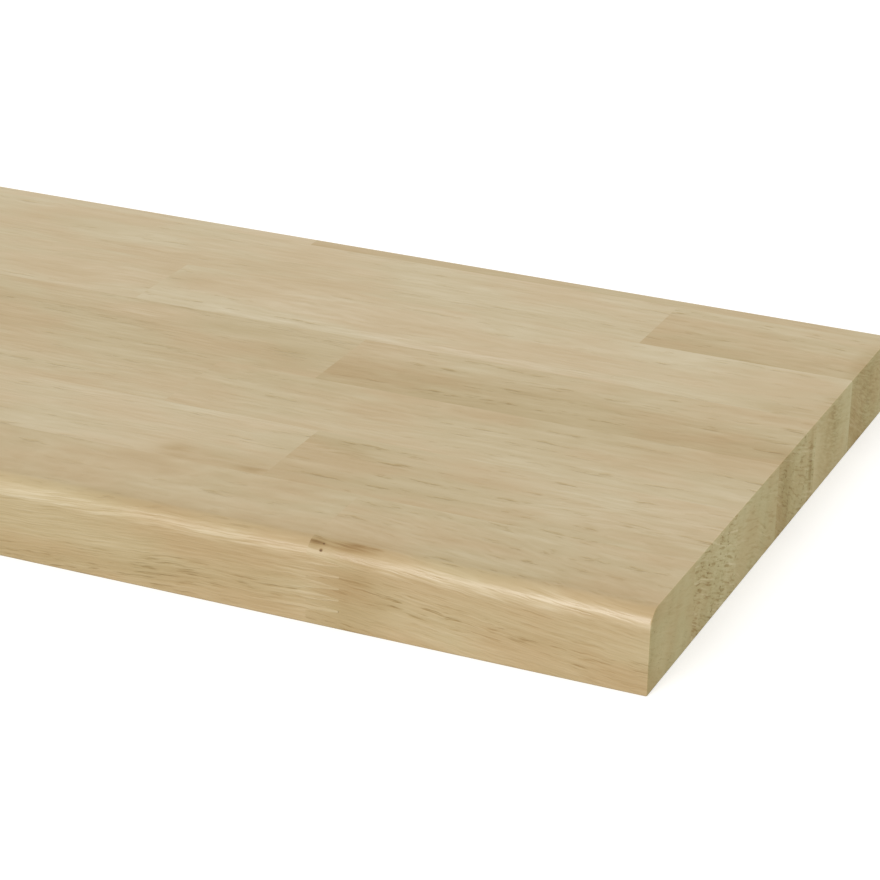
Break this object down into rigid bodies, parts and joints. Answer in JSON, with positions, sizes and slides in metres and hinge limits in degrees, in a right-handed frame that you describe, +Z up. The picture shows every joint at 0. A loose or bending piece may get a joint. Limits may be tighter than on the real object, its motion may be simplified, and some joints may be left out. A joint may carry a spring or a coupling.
{
  "type": "window sill",
  "caption": "Window sill of solid oak staves, finger-jointed end to end and glued side by side, with a rounded top front edge and square-cut ends.",
  "frame": {"origin": "centre of the underside", "axes": "+X along the sill to its right-hand end, -Y out of the rounded front edge into the room, +Y to the window frame, +Z up"},
  "size_m": [1.2, 0.25, 0.027],
  "materials": {
    "oak_pale": "planed and sanded bare oak, not oiled or lacquered",
    "oak_honey": "planed and sanded bare oak, not oiled or lacquered",
    "oak_medium": "planed and sanded bare oak, not oiled or lacquered",
    "oak_brown": "planed and sanded bare oak, not oiled or lacquered"
  },
  "bodies": {
    "root": {"back_strip_1": "oak_honey", "back_strip_2": "oak_brown", "back_strip_3": "oak_honey", "back_strip_4": "oak_medium", "front_stave_1": "oak_medium", "front_stave_2": "oak_honey", "front_stave_3": "oak_brown", "front_stave_4": "oak_honey", "row2_stave_1": "oak_honey", "row2_stave_2": "oak_pale", "row2_stave_3": "oak_medium", "row2_stave_4": "oak_honey", "row3_stave_1": "oak_pale", "row3_stave_2": "oak_honey", "row3_stave_3": "oak_pale", "row3_stave_4": "oak_medium", "row4_stave_1": "oak_brown", "row4_stave_2": "oak_medium", "row4_stave_3": "oak_honey", "row4_stave_4": "oak_medium", "row5_stave_1": "oak_honey", "row5_stave_2": "oak_pale", "row5_stave_3": "oak_medium", "row5_stave_4": "oak_pale", "row6_stave_1": "oak_medium", "row6_stave_2": "oak_pale", "row6_stave_3": "oak_honey", "row6_stave_4": "oak_brown"}
  },
  "joints": []
}
